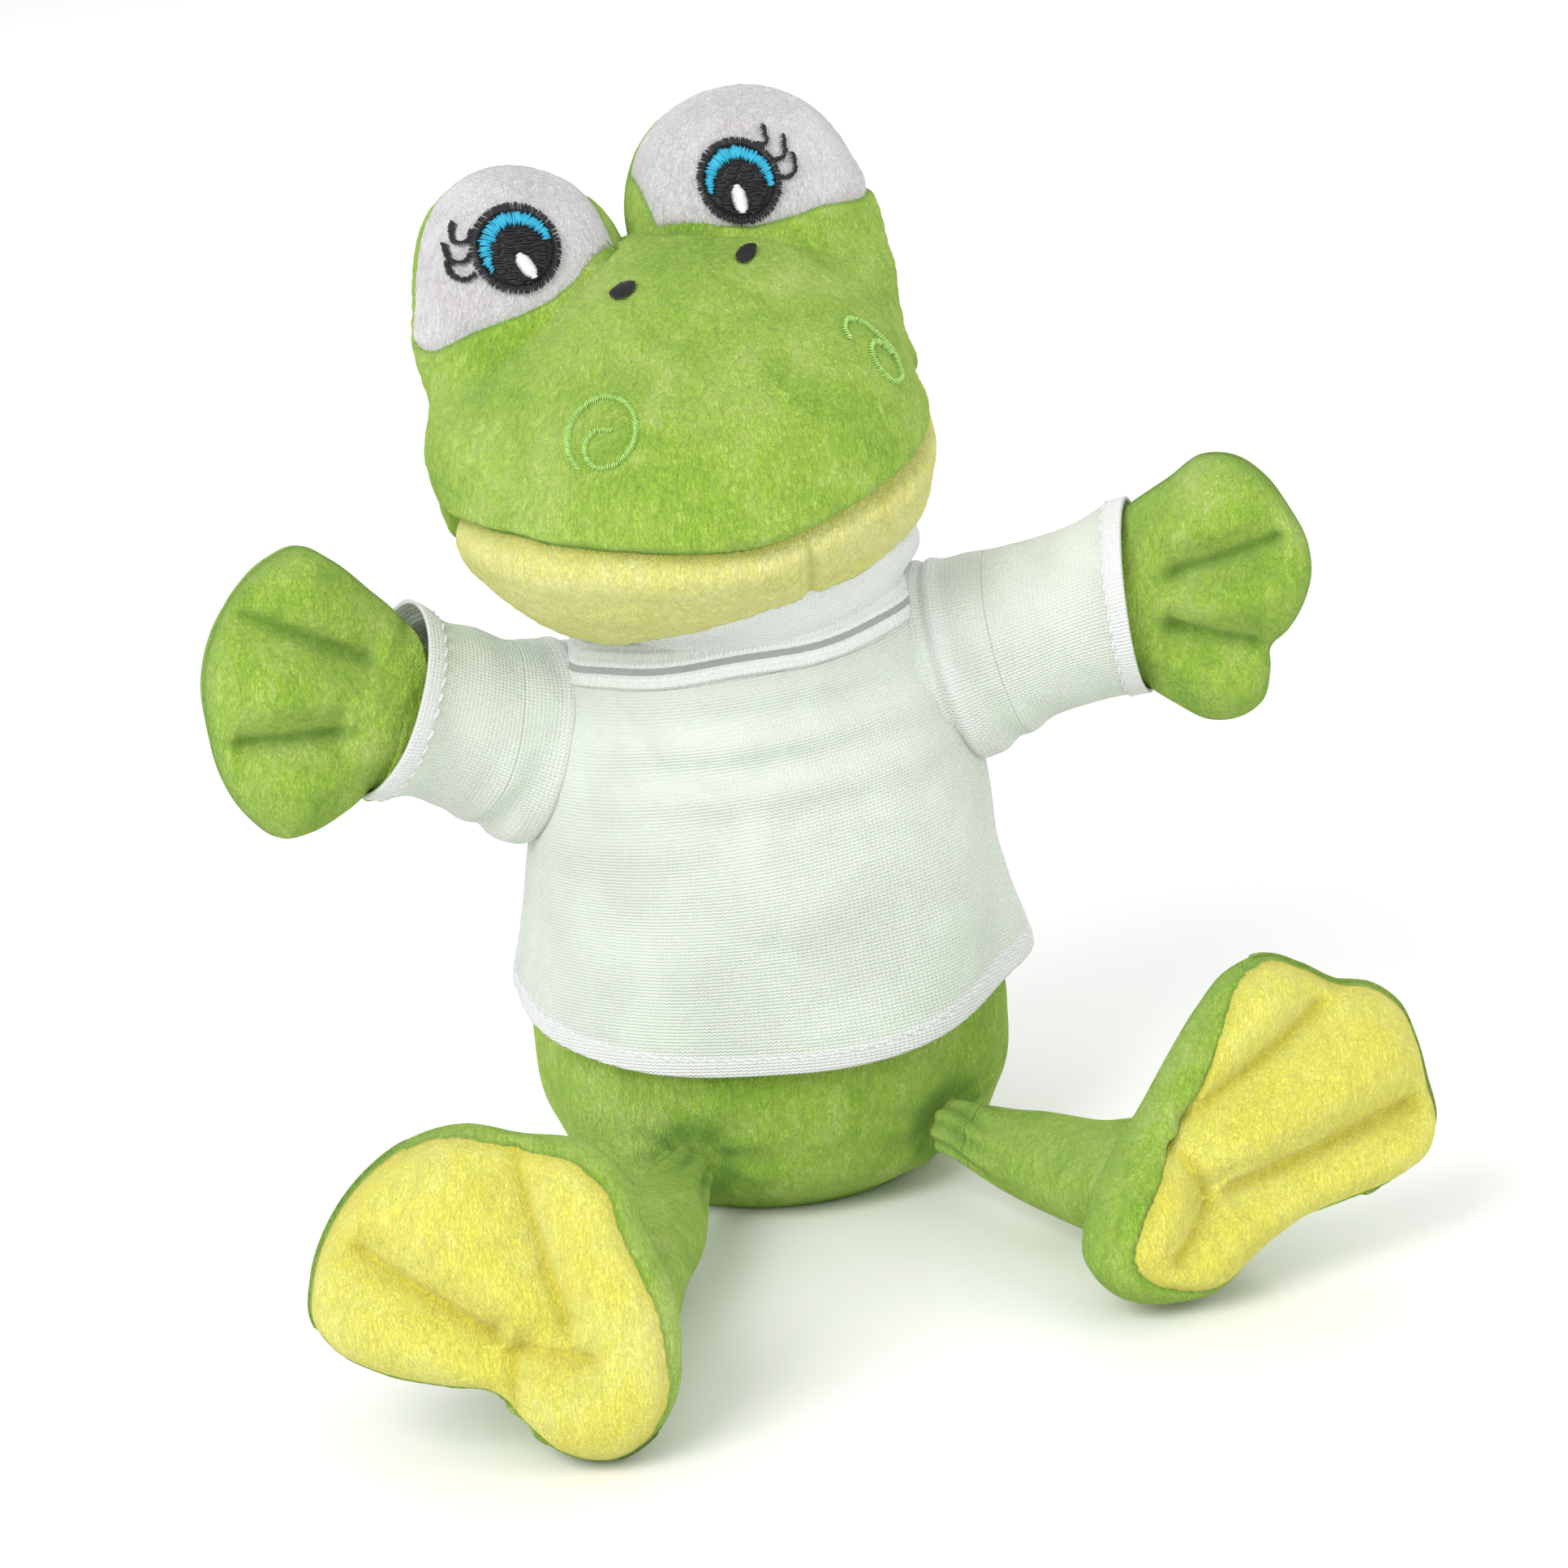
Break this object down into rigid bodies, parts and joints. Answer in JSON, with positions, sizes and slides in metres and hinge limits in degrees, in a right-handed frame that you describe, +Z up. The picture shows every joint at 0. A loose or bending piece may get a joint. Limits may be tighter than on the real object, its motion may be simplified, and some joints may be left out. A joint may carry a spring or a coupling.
{
  "type": "hand puppet",
  "caption": "Seated plush frog glove puppet in a T-shirt; a hand enters at the back, one finger works the stuffed head and two more work the hollow arms.",
  "frame": {"origin": "centre of the flat seat panel under the torso", "axes": "+Z up through the torso to the head, -Y the way the belly faces, +X to the viewer's right when the puppet is seen from the front"},
  "size_m": [0.2242, 0.1767, 0.2145],
  "materials": {
    "green_plush": "short pile plush",
    "yellow_plush": "short pile plush",
    "white_plush": "short pile plush",
    "shirt_knit": "thin jersey",
    "black_thread": "satin stitch embroidery",
    "blue_thread": "satin stitch embroidery",
    "white_thread": "satin stitch embroidery",
    "lime_thread": "satin stitch embroidery",
    "filling": "loose polyester fibre",
    "lining": "plain woven"
  },
  "bodies": {
    "torso": {"torso_front": "green_plush", "torso_back": "green_plush", "torso_base": "green_plush", "opening_binding": "green_plush", "shirt_front": "shirt_knit", "shirt_back": "shirt_knit", "shirt_collar": "shirt_knit"},
    "neck": {"neck_tube": "green_plush"},
    "neck_top": {"neck_ring": "green_plush"},
    "head": {"cheek_swirl_left": "lime_thread", "cheek_swirl_right": "lime_thread", "chin_panel": "yellow_plush", "eye_crescent_left": "blue_thread", "eye_crescent_right": "blue_thread", "eye_glint_left": "white_thread", "eye_glint_right": "white_thread", "eye_lash_left_1": "black_thread", "eye_lash_left_2": "black_thread", "eye_lash_left_3": "black_thread", "eye_lash_right_1": "black_thread", "eye_lash_right_2": "black_thread", "eye_lash_right_3": "black_thread", "eye_outline_left": "black_thread", "eye_outline_right": "black_thread", "eye_pupil_left": "black_thread", "eye_pupil_right": "black_thread", "eye_white_left": "white_plush", "eye_white_right": "white_plush", "finger_pocket": "lining", "head_back": "green_plush", "head_front": "green_plush", "head_stuffing": "filling", "nostril_left": "black_thread", "nostril_right": "black_thread"},
    "shoulder_left": {"armhole_ring_left": "lining"},
    "arm_left": {"arm_tube_left": "green_plush", "shirt_sleeve_left": "shirt_knit", "hand_front_left": "green_plush", "hand_back_left": "green_plush", "hand_stuffing_left": "filling"},
    "leg_root_left": {"leg_root_left": "green_plush"},
    "leg_left": {"leg_skin_left": "green_plush", "leg_stuffing_left": "filling"},
    "foot_left": {"foot_sole_left": "yellow_plush", "foot_upper_left": "green_plush", "foot_stuffing_left": "filling"},
    "shoulder_right": {"armhole_ring_right": "lining"},
    "arm_right": {"arm_tube_right": "green_plush", "shirt_sleeve_right": "shirt_knit", "hand_front_right": "green_plush", "hand_back_right": "green_plush", "hand_stuffing_right": "filling"},
    "leg_root_right": {"leg_root_right": "green_plush"},
    "leg_right": {"leg_skin_right": "green_plush", "leg_stuffing_right": "filling"},
    "foot_right": {"foot_sole_right": "yellow_plush", "foot_upper_right": "green_plush", "foot_stuffing_right": "filling"}
  },
  "joints": [
    {"name": "head_turn", "type": "hinge", "parent": "torso", "child": "neck", "pos_m": [0, 0, 0.121], "axis": [0, 0, 1], "range_deg": [-40, 40], "stiffness_Nm_per_rad": 1.2},
    {"name": "head_tilt", "type": "hinge", "parent": "neck", "child": "neck_top", "pos_m": [0, 0, 0.121], "axis": [0, 1, 0], "range_deg": [-8, 22], "stiffness_Nm_per_rad": 1.2},
    {"name": "head_nod", "type": "hinge", "parent": "neck_top", "child": "head", "pos_m": [0, 0, 0.121], "axis": [1, 0, 0], "range_deg": [-16, 16], "stiffness_Nm_per_rad": 1.2},
    {"name": "arm_left_raise", "type": "hinge", "parent": "torso", "child": "shoulder_left", "pos_m": [-0.04, 0, 0.092], "axis": [0, 1, 0], "range_deg": [-35, 12], "stiffness_Nm_per_rad": 0.12},
    {"name": "arm_left_clap", "type": "hinge", "parent": "shoulder_left", "child": "arm_left", "pos_m": [-0.04, 0, 0.092], "axis": [0, 0, 1], "range_deg": [-20, 35], "stiffness_Nm_per_rad": 0.12},
    {"name": "arm_right_raise", "type": "hinge", "parent": "torso", "child": "shoulder_right", "pos_m": [0.04, 0, 0.102], "axis": [0, 1, 0], "range_deg": [-12, 35], "stiffness_Nm_per_rad": 0.12},
    {"name": "arm_right_clap", "type": "hinge", "parent": "shoulder_right", "child": "arm_right", "pos_m": [0.04, 0, 0.102], "axis": [0, 0, 1], "range_deg": [-35, 20], "stiffness_Nm_per_rad": 0.12},
    {"name": "leg_left_splay", "type": "hinge", "parent": "torso", "child": "leg_root_left", "pos_m": [-0.02, -0.04, 0.014], "axis": [0, 0, 1], "range_deg": [-45, 15], "stiffness_Nm_per_rad": 0.03},
    {"name": "leg_left_swing", "type": "hinge", "parent": "leg_root_left", "child": "leg_left", "pos_m": [-0.02, -0.04, 0.014], "axis": [0.978, -0.2085, 0], "range_deg": [-20, 75], "stiffness_Nm_per_rad": 0.03},
    {"name": "foot_left_flex", "type": "hinge", "parent": "leg_left", "child": "foot_left", "pos_m": [-0.03585, -0.11436, 0.01413], "axis": [0.978, -0.2085, 0], "range_deg": [-20, 40], "stiffness_Nm_per_rad": 0.05},
    {"name": "leg_right_splay", "type": "hinge", "parent": "torso", "child": "leg_root_right", "pos_m": [0.037, -0.0285, 0.015], "axis": [0, 0, 1], "range_deg": [-40, 25], "stiffness_Nm_per_rad": 0.03},
    {"name": "leg_right_swing", "type": "hinge", "parent": "leg_root_right", "child": "leg_right", "pos_m": [0.037, -0.0285, 0.015], "axis": [0.7069, 0.7073, 0], "range_deg": [-20, 75], "stiffness_Nm_per_rad": 0.03},
    {"name": "foot_right_flex", "type": "hinge", "parent": "leg_right", "child": "foot_right", "pos_m": [0.0753, -0.06678, 0.01416], "axis": [0.7069, 0.7073, 0], "range_deg": [-20, 40], "stiffness_Nm_per_rad": 0.05}
  ]
}
